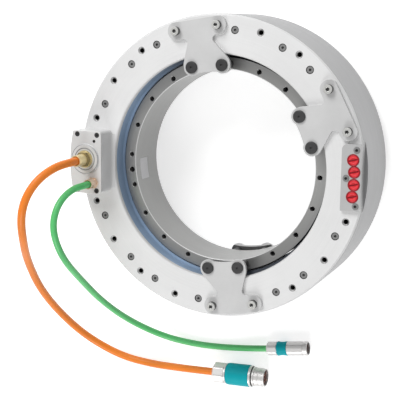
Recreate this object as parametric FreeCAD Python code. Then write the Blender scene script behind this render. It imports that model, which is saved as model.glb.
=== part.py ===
import FreeCAD, Part
import math
import os

# Frameless ring motor, in millimetres.
# Origin on the motor's axis at the stator's rear mounting face.
# +Z runs to the front face, where the cables leave; +X points at the coolant manifold.

V = FreeCAD.Vector
UP = V(0, 0, 1)
ORIGIN = V(0, 0, 0)

# Stator envelope
STATOR_R = 220.0
STATOR_LENGTH = 125.0
END_PLATE = 20.0
OUTER_WALL = 14.0
EDGE_CHAMFER = 2.5
FIT = 0.1

# Cooling jacket and laminated core
JACKET_WALL = 22.0
CHANNEL_DEPTH = 9.0
CHANNEL_EDGE = 16.0
CORE_WALL = 24.0
BORE_RELIEF = 3.3
SLOTS = 24
SLOT_DEPTH = 15.5
SLOT_SHARE = 0.5
SLOT_MOUTH = 5.0
TOOTH_TIP = 4.5
COIL_WALL = 16.0
COIL_DEPTH = 13.0
COIL_HEAD = 8.0
POT_HEIGHT = 10.0
FLANGE_LIP_H = 7.0
FLANGE_LIP_W = 6.7

# Rotor
AIR_GAP = 1.7
ROTOR_WALL = 13.0
ROTOR_SETBACK = 26.0
ROTOR_REAR = 23.0
MAGNETS = 28
MAGNET_THICK = 4.2
MAGNET_SHARE = 0.86
MAGNET_EDGE = 1.0
GLUE = 0.1

# Hole circles
STATOR_HOLES = 20
STATOR_HOLE_INSET = 16.0
STATOR_HOLE_R = 3.4
STATOR_HOLE_DEPTH = 18.0
ROTOR_HOLES = 20
ROTOR_HOLE_INSET = 7.0
ROTOR_HOLE_R = 3.5
ROTOR_HOLE_LEAD = -3.1
INDEX_HOLE_R = 4.2
INDEX_ANGLE = 185.9

# Shipping brackets that hold rotor and stator together
BRACKET_ANGLES = (99.0, 27.0, 279.0)
BRACKET_THICK = 5.0
EAR_R = 13.0
EAR_FLAT = 12.4
EAR_NECK_R = 6.0
NECK_LEFT = 14.3
NECK_RIGHT = -16.3
BRACKET_OVERHANG = 3.0
LOBE_R = 12.2
SCREW_SHANK_R = 3.3
SCREW_CLEAR_R = 4.4
SCREW_HEAD_R = 6.5
SCREW_HEAD_H = 8.0
SCREW_GRIP = 14.0
LOCK_HEAD_R = 8.9
LOCK_HEAD_H = 3.0
LOCK_HEAD_SIDES = 16
LOCK_STEM_R = 6.4
RUNNING_GAP = 0.3

# Connection box over the front face
BOX_TOP = 35.0
BOX_HALF = 46.5
BOX_INSET = 5.2
BOX_WALL = 5.0
BOX_LID = 6.0
BOX_CORNER_R = 6.0
BOX_FOOT_R = 6.0
GLAND_INSET = 26.0
GLAND_Y = 5.0
COLLAR_R = 22.0
COLLAR_H = 3.0
GLAND_BASE_R = 12.5
GLAND_BASE_H = 5.0
GLAND_HEX = 20.0
GLAND_HEX_H = 7.0
GLAND_CAP_R = 9.0
GLAND_CAP_H = 10.0
POWER_SLEEVE_H = 9.0
SLEEVE_GAP = 0.8
SLEEVE_WALL = 1.4
SIGNAL_INSET = 12.5
SIGNAL_FROM_EDGE = 16.5
SIGNAL_HEX = 15.0
SIGNAL_HEX_H = 4.0
SIGNAL_CAP_H = 3.0
SIGNAL_SLEEVE_H = 11.0

# Coolant manifold on the front face, with plugged ports
FLAT_CUT = 5.5
FLAT_DEPTH = 12.0
MANIFOLD_WIDTH = 28.0
MANIFOLD_HALF = 46.5
MANIFOLD_H = 6.0
MANIFOLD_CORNER_R = 8.0
MANIFOLD_CHAMFER = 4.0
PORTS_IN_FROM_FLAT = ((11.7, 24.4), (9.7, 8.0), (9.7, -9.7), (11.4, -26.4))
PORT_R = 8.6
PLUG_PROUD = 0.8
PLUG_SLOT_W = 2.0
PLUG_SLOT_D = 1.2
SCREWS_IN_FROM_FLAT = ((7.2, 38.3), (20.9, -1.1), (6.5, -39.4))
MANIFOLD_HEAD_R = 4.6
MANIFOLD_HEAD_H = 4.0
MANIFOLD_HEAD_SUNK = 3.0

# Rating plate in the rotor's bore
PLATE_ANGLE = 186.5
PLATE_WIDTH = 32.0
PLATE_HEIGHT = 26.0
PLATE_THICK = 1.0
PLATE_MIDDLE = 70.0

# Cables: route points from gland to connector, seen from above from the gland's middle,
# with heights over the ground
POWER_CABLE_R = 6.0
SIGNAL_CABLE_R = 5.0
ARC_SHARE = 0.45
POWER_ROUTE = (
    (0.0, 0.0, 195.0), (0.0, 0.0, 217.3), (-9.7, -4.1, 246.7), (-24.8, -20.0, 269.0),
    (-38.7, -45.8, 280.2), (-48.1, -76.8, 277.8), (-60.7, -116.3, 251.3),
    (-88.7, -158.7, 195.1), (-102.0, -218.9, 135.4), (-97.4, -277.4, 73.3),
    (-74.5, -325.7, 25.5), (-21.6, -355.9, 6.7), (34.0, -362.0, 6.0), (82.0, -360.0, 11.0),
    (120.0, -356.8, 17.5), (146.0, -356.0, 17.5))
SIGNAL_ROUTE = (
    (0.0, 0.0, 180.0), (0.0, 0.0, 198.5), (-8.6, -3.4, 224.3), (-17.4, -19.5, 244.6),
    (-21.6, -44.4, 255.2), (-20.3, -71.8, 253.3), (-17.4, -106.7, 232.1),
    (-19.8, -147.4, 178.3), (-14.1, -198.3, 115.2), (3.9, -243.3, 53.1),
    (44.9, -275.2, 11.1), (97.0, -282.7, 5.0), (143.0, -282.0, 5.0), (179.0, -278.0, 8.0),
    (203.0, -274.5, 11.5), (221.5, -272.0, 11.5))

# Shape shared by both connectors
CLAMP_LIP = 2.0
CLAMP_TAPER_SHARE = 0.35
GRIP_STEP = 1.0
GRIP_TAPER_SHARE = 0.1

# Power connector, lengths along its own axis
POWER_CLAMP_L = 22.0
POWER_GRIP_L = 39.5
POWER_RING_L = 9.5
POWER_NOSE_L = 21.0
POWER_GRIP_R = 17.5
POWER_CLAMP_R = 14.5
POWER_RING_R = 16.0
POWER_NOSE_R = 17.0
POWER_NOSE_WALL = 2.2
POWER_INSERT_DEPTH = 4.0

# Signal connector, lengths along its own axis
SIGNAL_CLAMP_L = 17.5
SIGNAL_GRIP_L = 19.0
SIGNAL_NOSE_L = 34.0
SIGNAL_GRIP_R = 11.5
SIGNAL_CLAMP_R = 9.5
SIGNAL_NOSE_R = 10.8
SIGNAL_NOSE_WALL = 1.6
SIGNAL_INSERT_DEPTH = 3.0

# Values that follow from the sizes above
FLANGE_BOTTOM = STATOR_LENGTH - END_PLATE
CORE_LOW = END_PLATE + POT_HEIGHT
CORE_HIGH = FLANGE_BOTTOM - POT_HEIGHT
JACKET_OUTER_R = STATOR_R - OUTER_WALL
CORE_OUTER_R = JACKET_OUTER_R - JACKET_WALL
CORE_R = CORE_OUTER_R - CORE_WALL
STATOR_BORE_R = CORE_R + BORE_RELIEF
LIP_SEAT_R = STATOR_BORE_R + FLANGE_LIP_W
LIP_LOW = STATOR_LENGTH - FLANGE_LIP_H
STATOR_HOLE_CIRCLE_R = STATOR_R - STATOR_HOLE_INSET
ROTOR_FRONT = STATOR_LENGTH - ROTOR_SETBACK
ROTOR_OUTER_R = CORE_R - AIR_GAP - MAGNET_THICK - GLUE
ROTOR_BORE_R = ROTOR_OUTER_R - ROTOR_WALL
ROTOR_HOLE_CIRCLE_R = ROTOR_BORE_R + ROTOR_HOLE_INSET
BRACKET_INNER_R = ROTOR_BORE_R - BRACKET_OVERHANG
BOX_TOP_Z = STATOR_LENGTH + BOX_TOP
BOX_INNER_X = -STATOR_BORE_R - BOX_INSET
GLAND_X = -STATOR_R + GLAND_INSET
SIGNAL_X = BOX_INNER_X - SIGNAL_INSET
SIGNAL_Y = SIGNAL_FROM_EDGE - BOX_HALF
FLAT_X = STATOR_R - FLAT_CUT
MANIFOLD_INNER_X = FLAT_X - MANIFOLD_WIDTH
PORTS = [(FLAT_X - inward, y) for inward, y in PORTS_IN_FROM_FLAT]
MANIFOLD_SCREWS = [(FLAT_X - inward, y) for inward, y in SCREWS_IN_FROM_FLAT]
GROUND_Z = -BRACKET_THICK - SCREW_HEAD_H
POWER_GLAND_TOP = BOX_TOP_Z + GLAND_BASE_H + GLAND_HEX_H + GLAND_CAP_H
SIGNAL_GLAND_TOP = BOX_TOP_Z + SIGNAL_HEX_H + SIGNAL_CAP_H
STATOR_PITCH = 360.0 / STATOR_HOLES
ROTOR_PITCH = 360.0 / ROTOR_HOLES


def polar(radius, angle, z=0.0):
    turn = math.radians(angle)
    return V(radius * math.cos(turn), radius * math.sin(turn), z)


def rod(radius, centre, low, high):
    return Part.makeCylinder(radius, high - low, V(centre.x, centre.y, low), UP)


def ring(inner_r, outer_r, low, high):
    return rod(outer_r, ORIGIN, low, high).cut(rod(inner_r, ORIGIN, low, high))


def turned(profile):
    """Solid of revolution about the motor's axis from (radius, height) corners."""
    corners = [V(r, 0, z) for r, z in profile]
    wire = Part.makePolygon(corners + corners[:1])
    return Part.Face(wire).revolve(ORIGIN, UP, 360)


def around(shape, angle):
    copy = shape.copy()
    copy.rotate(ORIGIN, UP, angle)
    return copy


def arc_between(start, middle, end):
    return Part.Arc(start, middle, end).toShape()


def rounded_outline(corners):
    """Closed wire of lines and tangent arcs through (x, y, fillet radius) corners."""
    points = [V(x, y, 0) for x, y, _ in corners]
    entries = []
    count = len(corners)
    for i, (_, _, radius) in enumerate(corners):
        here = points[i]
        back = (points[i - 1] - here).normalize()
        ahead = (points[(i + 1) % count] - here).normalize()
        if radius == 0:
            entries.append((here, None, here))
            continue
        half = back.getAngle(ahead) / 2
        reach = radius / math.tan(half)
        bisector = (back + ahead).normalize()
        centre = here + bisector * (radius / math.sin(half))
        entries.append((here + back * reach, centre - bisector * radius, here + ahead * reach))
    edges = []
    for i, (start, middle, end) in enumerate(entries):
        if middle is not None:
            edges.append(arc_between(start, middle, end))
        following = entries[(i + 1) % count][0]
        if end.distanceToPoint(following) > 1e-6:
            edges.append(Part.LineSegment(end, following).toShape())
    return Part.Wire(Part.__sortEdges__(edges))


def plate(corners, low, high):
    face = Part.Face(rounded_outline(corners))
    face.translate(V(0, 0, low))
    return face.extrude(V(0, 0, high - low))


def prism(across_flats, sides, centre, low, high):
    radius = across_flats / 2 / math.cos(math.pi / sides)
    corners = [V(centre.x, centre.y, low) + polar(radius, 360.0 * i / sides) for i in range(sides)]
    face = Part.Face(Part.makePolygon(corners + corners[:1]))
    return face.extrude(V(0, 0, high - low))


def stator_hole_angles():
    return [STATOR_PITCH * i for i in range(STATOR_HOLES)]


def tapped_holes(low, high):
    return Part.makeCompound([rod(STATOR_HOLE_R, polar(STATOR_HOLE_CIRCLE_R, angle), low, high)
                              for angle in stator_hole_angles()])


def front_flange():
    """Front ring with a lip over the potting's collar."""
    body = turned([
        (LIP_SEAT_R, FLANGE_BOTTOM),
        (STATOR_R, FLANGE_BOTTOM),
        (STATOR_R, STATOR_LENGTH - EDGE_CHAMFER),
        (STATOR_R - EDGE_CHAMFER, STATOR_LENGTH),
        (STATOR_BORE_R, STATOR_LENGTH),
        (STATOR_BORE_R, LIP_LOW),
        (LIP_SEAT_R, LIP_LOW)])
    flat = Part.makeBox(STATOR_R, 2 * STATOR_R, FLAT_DEPTH,
                        V(FLAT_X, -STATOR_R, STATOR_LENGTH - FLAT_DEPTH))
    holes = tapped_holes(STATOR_LENGTH - STATOR_HOLE_DEPTH, STATOR_LENGTH)
    return body.cut(flat).cut(holes)


def rear_flange():
    body = turned([
        (STATOR_BORE_R, 0),
        (STATOR_R - EDGE_CHAMFER, 0),
        (STATOR_R, EDGE_CHAMFER),
        (STATOR_R, END_PLATE),
        (STATOR_BORE_R, END_PLATE)])
    return body.cut(tapped_holes(0, STATOR_HOLE_DEPTH))


def stator_housing():
    """Outer wall between the two flanges."""
    return ring(JACKET_OUTER_R, STATOR_R, END_PLATE, FLANGE_BOTTOM)


def cooling_jacket():
    groove_r = JACKET_OUTER_R - CHANNEL_DEPTH
    return turned([
        (CORE_OUTER_R + FIT, END_PLATE),
        (JACKET_OUTER_R - FIT, END_PLATE),
        (JACKET_OUTER_R - FIT, END_PLATE + CHANNEL_EDGE),
        (groove_r, END_PLATE + CHANNEL_EDGE),
        (groove_r, FLANGE_BOTTOM - CHANNEL_EDGE),
        (JACKET_OUTER_R - FIT, FLANGE_BOTTOM - CHANNEL_EDGE),
        (JACKET_OUTER_R - FIT, FLANGE_BOTTOM),
        (CORE_OUTER_R + FIT, FLANGE_BOTTOM)])


def slot_width():
    return 2 * math.pi * CORE_R / SLOTS * SLOT_SHARE


def stator_core():
    body = ring(CORE_R, CORE_OUTER_R, CORE_LOW, CORE_HIGH)
    height = CORE_HIGH - CORE_LOW
    cuts = []
    for i in range(SLOTS):
        slot = Part.makeBox(SLOT_DEPTH, slot_width(), height,
                            V(CORE_R + TOOTH_TIP, -slot_width() / 2, CORE_LOW))
        mouth = Part.makeBox(2 * TOOTH_TIP, SLOT_MOUTH, height,
                             V(CORE_R - TOOTH_TIP / 2, -SLOT_MOUTH / 2, CORE_LOW))
        cuts.append(around(slot.fuse(mouth), 360.0 / SLOTS * (i + 0.5)))
    return body.cut(Part.makeCompound(cuts))


def tooth_half_width():
    """Half the width of a tooth where the coil's back lies."""
    back_r = CORE_R + TOOTH_TIP + COIL_DEPTH
    return back_r * math.tan(math.pi / SLOTS) - slot_width() / 2 / math.cos(math.pi / SLOTS)


def coil_windings():
    """One flat coil round every second tooth, standing out of the core at both ends."""
    inner_half = tooth_half_width() + FIT
    outer_half = inner_half + COIL_WALL
    start = CORE_R + TOOTH_TIP + FIT
    height = CORE_HIGH - CORE_LOW
    outer = Part.makeBox(COIL_DEPTH, 2 * outer_half, height + 2 * COIL_HEAD,
                         V(start, -outer_half, CORE_LOW - COIL_HEAD))
    window = Part.makeBox(COIL_DEPTH, 2 * inner_half, height + 2 * FIT,
                          V(start, -inner_half, CORE_LOW - FIT))
    coil = outer.cut(window)
    return Part.makeCompound([around(coil, 720.0 / SLOTS * i) for i in range(SLOTS // 2)])


def coil_head_pockets():
    half = tooth_half_width() + COIL_WALL + 2 * FIT
    low = CORE_LOW - COIL_HEAD - FIT
    high = CORE_HIGH + COIL_HEAD + FIT
    pocket = Part.makeBox(COIL_DEPTH + 2 * FIT, 2 * half, high - low,
                          V(CORE_R + TOOTH_TIP, -half, low))
    return Part.makeCompound([around(pocket, 720.0 / SLOTS * i) for i in range(SLOTS // 2)])


def potting_front(pockets):
    """Potting over the coil heads, with a collar up to the front flange's lip."""
    body = turned([
        (STATOR_BORE_R, CORE_HIGH),
        (CORE_OUTER_R - FIT, CORE_HIGH),
        (CORE_OUTER_R - FIT, FLANGE_BOTTOM),
        (LIP_SEAT_R - FIT, FLANGE_BOTTOM),
        (LIP_SEAT_R - FIT, LIP_LOW - FIT),
        (STATOR_BORE_R, LIP_LOW - FIT)])
    return body.cut(pockets)


def potting_rear(pockets):
    body = ring(CORE_R, CORE_OUTER_R - FIT, END_PLATE, CORE_LOW)
    return body.cut(pockets)


def rotor_hole_angles():
    return [ROTOR_HOLE_LEAD + ROTOR_PITCH * i for i in range(ROTOR_HOLES)]


def plate_slab(outer_r, width, height):
    """Curved slab in the rotor's bore wall, centred where the rating plate sits."""
    slab = ring(ROTOR_BORE_R - PLATE_THICK, outer_r, PLATE_MIDDLE - height / 2,
                PLATE_MIDDLE + height / 2)
    window = Part.makeBox(2 * ROTOR_BORE_R, width, STATOR_LENGTH, V(0, -width / 2, 0))
    return around(slab.common(window), PLATE_ANGLE)


def rotor_ring():
    body = ring(ROTOR_BORE_R, ROTOR_OUTER_R, ROTOR_REAR, ROTOR_FRONT)
    cuts = [rod(ROTOR_HOLE_R, polar(ROTOR_HOLE_CIRCLE_R, angle), ROTOR_REAR, ROTOR_FRONT)
            for angle in rotor_hole_angles()]
    cuts.append(rod(INDEX_HOLE_R, polar(ROTOR_HOLE_CIRCLE_R, INDEX_ANGLE),
                    ROTOR_REAR, ROTOR_FRONT))
    cuts.append(plate_slab(ROTOR_BORE_R + PLATE_THICK + 2 * FIT,
                           PLATE_WIDTH + 2 * FIT, PLATE_HEIGHT + 2 * FIT))
    return body.cut(Part.makeCompound(cuts))


def rotor_magnets():
    start = ROTOR_OUTER_R + GLUE
    low = ROTOR_REAR + MAGNET_EDGE
    high = ROTOR_FRONT - MAGNET_EDGE
    width = 360.0 / MAGNETS * MAGNET_SHARE
    inner = [polar(start, angle, low) for angle in (0, width / 2, width)]
    outer = [polar(start + MAGNET_THICK, angle, low) for angle in (width, width / 2, 0)]
    wire = Part.Wire([
        arc_between(*inner),
        Part.LineSegment(inner[2], outer[0]).toShape(),
        arc_between(*outer),
        Part.LineSegment(outer[2], inner[0]).toShape()])
    magnet = Part.Face(wire).extrude(V(0, 0, high - low))
    return Part.makeCompound([around(magnet, 360.0 / MAGNETS * i) for i in range(MAGNETS)])


def rating_plate():
    """Thin plate let into the bore wall, just under its surface."""
    inner_r = ROTOR_BORE_R + FIT
    slab = plate_slab(inner_r + PLATE_THICK, PLATE_WIDTH, PLATE_HEIGHT)
    return slab.cut(rod(inner_r, ORIGIN, 0, STATOR_LENGTH))


def stator_pair(angle):
    """Angles of the two stator holes nearest to a bracket, one on each side."""
    first = math.floor(angle / STATOR_PITCH) * STATOR_PITCH
    return (first, first + STATOR_PITCH)


def rotor_pair(angle):
    return tuple(hole + ROTOR_HOLE_LEAD for hole in stator_pair(angle))


def bracket(angle):
    """Flat front clamp with a straight outer edge, two ears and two round lobes."""
    low = STATOR_LENGTH
    high = low + BRACKET_THICK
    ears = [polar(STATOR_HOLE_CIRCLE_R, hole - angle) for hole in stator_pair(angle)]
    lobes = [polar(ROTOR_HOLE_CIRCLE_R, hole - angle) for hole in rotor_pair(angle)]
    edge_x = ears[0].x + EAR_FLAT
    side_y = ears[1].y + EAR_R
    lobe_right, lobe_left = lobes[0].y - LOBE_R, lobes[1].y + LOBE_R
    inner_x = BRACKET_INNER_R - LOBE_R
    web = plate([
        (edge_x, ears[1].y, 0),
        (ears[1].x - EAR_R, ears[1].y, 0),
        (ears[1].x - EAR_R, NECK_LEFT, EAR_NECK_R),
        (lobes[1].x + LOBE_R / 2, lobe_left, LOBE_R),
        (lobes[1].x, lobe_left, 0),
        (inner_x, lobes[1].y, 0),
        (inner_x, lobes[0].y, 0),
        (lobes[0].x, lobe_right, 0),
        (lobes[0].x + LOBE_R / 2, lobe_right, LOBE_R),
        (ears[0].x - EAR_R, NECK_RIGHT, EAR_NECK_R),
        (ears[0].x - EAR_R, ears[0].y, 0),
        (edge_x, ears[0].y, 0)], low, high)
    trimmed = web.common(ring(BRACKET_INNER_R, STATOR_R, low, high))
    reach = plate([
        (0, side_y, 0),
        (0, -side_y, 0),
        (edge_x, -side_y, 0),
        (edge_x, side_y, 0)], low, high)
    body = trimmed.fuse([rod(EAR_R, ear, low, high).common(reach) for ear in ears]
                        + [rod(LOBE_R, lobe, low, high) for lobe in lobes])
    holes = [rod(SCREW_CLEAR_R, ear, low, high) for ear in ears]
    holes += [rod(LOCK_STEM_R + FIT, lobe, low, high) for lobe in lobes]
    return around(body.cut(Part.makeCompound(holes)).removeSplitter(), angle)


def cap_screws():
    """Cap screws through the front brackets' ears into the stator's tapped holes."""
    seat = STATOR_LENGTH + BRACKET_THICK
    screws = []
    for angle in BRACKET_ANGLES:
        for hole in stator_pair(angle):
            at = polar(STATOR_HOLE_CIRCLE_R, hole)
            head = rod(SCREW_HEAD_R, at, seat, seat + SCREW_HEAD_H)
            shank = rod(SCREW_SHANK_R, at, STATOR_LENGTH - SCREW_GRIP, seat)
            screws.append(head.fuse(shank))
    return Part.makeCompound(screws)


def lock_screws(setback):
    """Shouldered screws with knurled heads, whose stems reach down to the rotor's face."""
    seat = STATOR_LENGTH + BRACKET_THICK
    screws = []
    for angle in BRACKET_ANGLES:
        for hole in rotor_pair(angle):
            at = polar(ROTOR_HOLE_CIRCLE_R, hole)
            head = prism(2 * LOCK_HEAD_R, LOCK_HEAD_SIDES, at, seat, seat + LOCK_HEAD_H)
            stem = rod(LOCK_STEM_R, at, STATOR_LENGTH - setback + RUNNING_GAP, seat)
            screws.append(head.fuse(stem))
    return Part.makeCompound(screws)


def at_rear(shape):
    """Copy of a front piece, mirrored to the rear face."""
    return shape.mirror(V(0, 0, STATOR_LENGTH / 2), UP)


def box_plan(inset, low, high):
    block = plate([
        (-STATOR_R - BOX_WALL, BOX_HALF - inset, 0),
        (-STATOR_R - BOX_WALL, -BOX_HALF + inset, 0),
        (BOX_INNER_X - inset, -BOX_HALF + inset, BOX_CORNER_R - inset),
        (BOX_INNER_X - inset, BOX_HALF - inset, BOX_CORNER_R - inset)], low, high)
    return block.common(rod(STATOR_R - inset, ORIGIN, low, high))


def connection_box():
    lid_seat = BOX_TOP_Z - BOX_LID
    shell = box_plan(0, STATOR_LENGTH, lid_seat)
    foot_corner = V(BOX_INNER_X, -BOX_HALF, STATOR_LENGTH)
    rise = foot_corner + V(0, 0, BOX_FOOT_R)
    run = foot_corner + V(BOX_FOOT_R, 0, 0)
    centre = foot_corner + V(BOX_FOOT_R, 0, BOX_FOOT_R)
    middle = centre + V(-1, 0, -1).normalize() * BOX_FOOT_R
    inside = foot_corner + V(-BOX_WALL / 2, 0, 0)
    inside_top = inside + V(0, 0, BOX_FOOT_R)
    foot_wire = Part.Wire([
        Part.LineSegment(inside, run).toShape(),
        arc_between(run, middle, rise),
        Part.LineSegment(rise, inside_top).toShape(),
        Part.LineSegment(inside_top, inside).toShape()])
    half_foot = BOX_HALF - BOX_CORNER_R
    foot = Part.Face(foot_wire).extrude(V(0, 2 * half_foot, 0))
    foot.translate(V(0, BOX_CORNER_R, 0))
    cavity = box_plan(BOX_WALL, STATOR_LENGTH, lid_seat)
    return shell.fuse(foot).cut(cavity).removeSplitter()


def box_cover():
    """Screwed cover with the round boss that carries the power gland."""
    at = V(GLAND_X, GLAND_Y, 0)
    boss_top = BOX_TOP_Z + COLLAR_H
    cover = box_plan(0, BOX_TOP_Z - BOX_LID, BOX_TOP_Z)
    boss = rod(COLLAR_R, at, BOX_TOP_Z, boss_top)
    seat = rod(GLAND_BASE_R + FIT, at, BOX_TOP_Z, boss_top)
    return cover.fuse(boss).cut(seat)


def sleeve_outer_r(cable_r):
    return cable_r + SLEEVE_GAP + SLEEVE_WALL


def sleeve(cable_r, at, low, high):
    """Short tube round a cable where it leaves its gland."""
    tube = rod(sleeve_outer_r(cable_r), at, low, high)
    return tube.cut(rod(cable_r + SLEEVE_GAP, at, low, high))


def power_gland():
    at = V(GLAND_X, GLAND_Y, 0)
    hex_low = BOX_TOP_Z + GLAND_BASE_H
    cap_low = POWER_GLAND_TOP - GLAND_CAP_H
    base = rod(GLAND_BASE_R, at, BOX_TOP_Z, hex_low)
    nut = prism(GLAND_HEX, 6, at, hex_low, cap_low)
    cap = Part.makeCone(GLAND_CAP_R, sleeve_outer_r(POWER_CABLE_R), GLAND_CAP_H,
                        V(at.x, at.y, cap_low), UP)
    tube = sleeve(POWER_CABLE_R, at, POWER_GLAND_TOP, POWER_GLAND_TOP + POWER_SLEEVE_H)
    return base.fuse([nut, cap, tube])


def signal_gland():
    at = V(SIGNAL_X, SIGNAL_Y, 0)
    cap_low = BOX_TOP_Z + SIGNAL_HEX_H
    nut = prism(SIGNAL_HEX, 6, at, BOX_TOP_Z, cap_low)
    cap = rod(sleeve_outer_r(SIGNAL_CABLE_R), at, cap_low, SIGNAL_GLAND_TOP)
    tube = sleeve(SIGNAL_CABLE_R, at, SIGNAL_GLAND_TOP, SIGNAL_GLAND_TOP + SIGNAL_SLEEVE_H)
    return nut.fuse([cap, tube])


def coolant_manifold():
    low = STATOR_LENGTH
    high = STATOR_LENGTH + MANIFOLD_H
    cut_x = FLAT_X - MANIFOLD_CHAMFER
    cut_y = -MANIFOLD_HALF + MANIFOLD_CHAMFER
    body = plate([
        (MANIFOLD_INNER_X, MANIFOLD_HALF, MANIFOLD_CORNER_R),
        (MANIFOLD_INNER_X, -MANIFOLD_HALF, 0),
        (cut_x, -MANIFOLD_HALF, 0),
        (FLAT_X, cut_y, 0),
        (FLAT_X, MANIFOLD_HALF, 0)], low, high)
    ports = [rod(PORT_R + FIT, V(x, y, 0), low, high) for x, y in PORTS]
    seats = [rod(MANIFOLD_HEAD_R + FIT, V(x, y, 0), high - MANIFOLD_HEAD_SUNK, high)
             for x, y in MANIFOLD_SCREWS]
    return body.cut(Part.makeCompound(ports + seats))


def port_plugs():
    low = STATOR_LENGTH
    high = STATOR_LENGTH + MANIFOLD_H + PLUG_PROUD
    plugs = []
    for x, y in PORTS:
        plug = rod(PORT_R, V(x, y, 0), low, high)
        slot = Part.makeBox(2 * PORT_R, PLUG_SLOT_W, PLUG_SLOT_D,
                            V(x - PORT_R, y - PLUG_SLOT_W / 2, high - PLUG_SLOT_D))
        plugs.append(plug.cut(slot))
    return Part.makeCompound(plugs)


def manifold_screws():
    seat = STATOR_LENGTH + MANIFOLD_H - MANIFOLD_HEAD_SUNK
    return Part.makeCompound([rod(MANIFOLD_HEAD_R, V(x, y, 0), seat, seat + MANIFOLD_HEAD_H)
                              for x, y in MANIFOLD_SCREWS])


def laid_route(route, gland_x, gland_y, gland_top, radius):
    """Route points from a gland: the high ones follow its height, those on the ground stay."""
    start_height = route[0][2]
    lift = gland_top - GROUND_Z - start_height
    points = []
    for dx, dy, height in route:
        share = min(1.0, (height - radius) / (start_height - radius))
        points.append(V(gland_x + dx, gland_y + dy, GROUND_Z + height + lift * share))
    return points


def cable(name, points, radius):
    """Tube along straight runs that are joined by tangent arcs."""
    edges = []
    radii = []
    start = points[0]
    for before, here, after in zip(points, points[1:], points[2:]):
        back = (before - here).normalize()
        ahead = (after - here).normalize()
        half_turn = (math.pi - back.getAngle(ahead)) / 2
        reach = ARC_SHARE * min(before.distanceToPoint(here), here.distanceToPoint(after))
        bend = reach / math.tan(half_turn)
        radii.append(round(bend))
        arc_start = here + back * reach
        arc_end = here + ahead * reach
        bisector = (back + ahead).normalize()
        middle = here + bisector * (bend / math.cos(half_turn) - bend)
        edges.append(Part.LineSegment(start, arc_start).toShape())
        edges.append(arc_between(arc_start, middle, arc_end))
        start = arc_end
    edges.append(Part.LineSegment(start, points[-1]).toShape())
    path = Part.Wire(edges)
    section = Part.Wire(Part.makeCircle(radius, points[0], points[1] - points[0]))
    tube = path.makePipeShell([section], True, True)
    print(name, "bend radii", radii, "length", round(path.Length),
          "volume share", round(tube.Volume / (math.pi * radius ** 2 * path.Length), 4))
    return tube


def connector_piece(points, start, length, profile):
    """Turned piece on a cable's last run; profile gives (share of length, radius) corners."""
    tip = points[-1]
    along = (tip - points[-2]).normalize()
    corners = [V(radius, 0, share * length) for share, radius in profile]
    solid = Part.Face(Part.makePolygon(corners + corners[:1])).revolve(ORIGIN, UP, 360)
    solid.Placement = FreeCAD.Placement(tip + along * start, FreeCAD.Rotation(UP, along))
    return solid


def power_connector(points):
    clamp = connector_piece(points, 0, POWER_CLAMP_L, [
        (0, 0), (0, POWER_CABLE_R + CLAMP_LIP), (CLAMP_TAPER_SHARE, POWER_CLAMP_R),
        (1, POWER_CLAMP_R), (1, 0)])
    grip = connector_piece(points, POWER_CLAMP_L, POWER_GRIP_L, [
        (0, 0), (0, POWER_CLAMP_R + GRIP_STEP), (GRIP_TAPER_SHARE, POWER_GRIP_R),
        (1, POWER_GRIP_R), (1, 0)])
    ring_start = POWER_CLAMP_L + POWER_GRIP_L
    locking = connector_piece(points, ring_start, POWER_RING_L, [
        (0, 0), (0, POWER_RING_R), (1, POWER_RING_R), (1, 0)])
    nose_start = ring_start + POWER_RING_L
    inner_r = POWER_NOSE_R - POWER_NOSE_WALL
    nose = connector_piece(points, nose_start, POWER_NOSE_L, [
        (0, inner_r), (0, POWER_NOSE_R), (1, POWER_NOSE_R), (1, inner_r)])
    insert = connector_piece(points, nose_start, POWER_NOSE_L - POWER_INSERT_DEPTH, [
        (0, 0), (0, inner_r - FIT), (1, inner_r - FIT), (1, 0)])
    return {"power_connector_clamp": clamp, "power_connector_grip": grip,
            "power_connector_ring": locking, "power_connector_nose": nose,
            "power_connector_insert": insert}


def signal_connector(points):
    clamp = connector_piece(points, 0, SIGNAL_CLAMP_L, [
        (0, 0), (0, SIGNAL_CABLE_R + CLAMP_LIP), (CLAMP_TAPER_SHARE, SIGNAL_CLAMP_R),
        (1, SIGNAL_CLAMP_R), (1, 0)])
    grip = connector_piece(points, SIGNAL_CLAMP_L, SIGNAL_GRIP_L, [
        (0, 0), (0, SIGNAL_GRIP_R), (1, SIGNAL_GRIP_R), (1, 0)])
    nose_start = SIGNAL_CLAMP_L + SIGNAL_GRIP_L
    inner_r = SIGNAL_NOSE_R - SIGNAL_NOSE_WALL
    nose = connector_piece(points, nose_start, SIGNAL_NOSE_L, [
        (0, inner_r), (0, SIGNAL_NOSE_R), (1, SIGNAL_NOSE_R), (1, inner_r)])
    insert = connector_piece(points, nose_start, SIGNAL_NOSE_L - SIGNAL_INSERT_DEPTH, [
        (0, 0), (0, inner_r - FIT), (1, inner_r - FIT), (1, 0)])
    return {"signal_connector_clamp": clamp, "signal_connector_grip": grip,
            "signal_connector_nose": nose, "signal_connector_insert": insert}


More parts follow.
